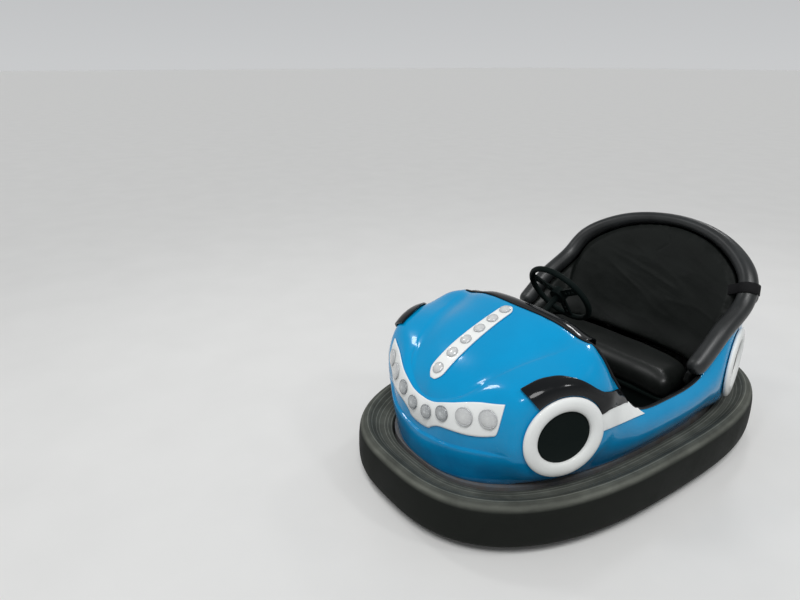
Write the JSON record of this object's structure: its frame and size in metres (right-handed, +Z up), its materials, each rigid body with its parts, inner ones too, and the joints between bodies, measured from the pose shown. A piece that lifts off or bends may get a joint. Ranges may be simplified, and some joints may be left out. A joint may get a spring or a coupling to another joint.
{
  "type": "bumper car",
  "caption": "Two-seat fairground bumper car with a rubber ring bumper, a moulded body with wheel-look rings, a padded scoop seat and a swivelling drive wheel.",
  "frame": {"origin": "centre of the bounding box's footprint, on the floor", "axes": "+Z up, -Y towards the nose, +X towards the car's left side"},
  "size_m": [1.2, 1.95, 0.9291],
  "materials": {
    "rubber_ring": "matte black rubber",
    "wheel_rubber": "black solid rubber",
    "blue_shell": "high gloss blue gel coat",
    "white_gloss": "white gloss moulding",
    "black_gloss": "black gloss moulding",
    "black_matte": "black matte moulding",
    "edge_rubber": "black rubber edging",
    "lamp_lens": "clear grey lens",
    "black_vinyl": "black vinyl",
    "grey_vinyl": "dark grey vinyl",
    "webbing": "black woven webbing",
    "floor_paint": "dark paint",
    "frame_steel": "grey painted steel",
    "drive_casting": "grey casting",
    "bare_steel": "bare steel"
  },
  "bodies": {
    "car": {"bumper_tyre": "rubber_ring", "bumper_band": "frame_steel", "chassis_frame": "frame_steel", "floor_pan": "floor_paint", "body_shell": "blue_shell", "side_liner_left": "black_gloss", "side_liner_right": "black_gloss", "dash_cowl": "black_gloss", "bonnet_edge_trim": "edge_rubber", "light_band": "white_gloss", "bonnet_strip": "white_gloss", "lamp_lenses": "lamp_lens", "arch_trim_left": "black_gloss", "arch_trim_right": "black_gloss", "front_ring_left": "white_gloss", "front_ring_right": "white_gloss", "front_disc_left": "black_matte", "front_disc_right": "black_matte", "rear_ring_left": "white_gloss", "rear_ring_right": "white_gloss", "rear_disc_left": "black_matte", "rear_disc_right": "black_matte", "sill_blade_left": "white_gloss", "sill_blade_right": "white_gloss", "seat_base": "black_matte", "seat_cushion": "black_vinyl", "seat_back": "black_vinyl", "seat_edge_roll": "grey_vinyl", "seat_belt": "webbing", "belt_reel": "black_gloss", "battery_pack": "black_matte", "accelerator_pedal": "frame_steel", "column_bracket": "frame_steel", "steering_gearbox": "drive_casting", "rear_axle": "frame_steel"},
    "steering": {"steering_column": "bare_steel", "steering_wheel": "black_matte"},
    "drive_head": {"drive_fork": "drive_casting", "drive_motor": "drive_casting"},
    "drive_wheel": {"drive_hub": "bare_steel", "drive_tyre": "wheel_rubber"},
    "rear_wheel_left": {"rear_hub_left": "bare_steel", "rear_tyre_left": "wheel_rubber"},
    "rear_wheel_right": {"rear_hub_right": "bare_steel", "rear_tyre_right": "wheel_rubber"}
  },
  "joints": [
    {"name": "drive_head_swivel", "type": "hinge", "parent": "car", "child": "drive_head", "pos_m": [0, -0.548, 0.2], "axis": [0, 0, 1], "continuous": true},
    {"name": "steering_turn", "type": "hinge", "parent": "car", "child": "steering", "pos_m": [0, -0.104, 0.7], "axis": [0, 0.8192, 0.5736], "continuous": true},
    {"name": "drive_wheel_spin", "type": "hinge", "parent": "drive_head", "child": "drive_wheel", "pos_m": [0, -0.548, 0.1], "axis": [1, 0, 0], "continuous": true},
    {"name": "rear_wheel_left_spin", "type": "hinge", "parent": "car", "child": "rear_wheel_left", "pos_m": [0.32, 0.56, 0.075], "axis": [1, 0, 0], "continuous": true},
    {"name": "rear_wheel_right_spin", "type": "hinge", "parent": "car", "child": "rear_wheel_right", "pos_m": [-0.32, 0.56, 0.075], "axis": [1, 0, 0], "continuous": true}
  ],
  "couplings": [
    {"joint": "steering_turn", "follows": "drive_head_swivel", "ratio": 1}
  ]
}
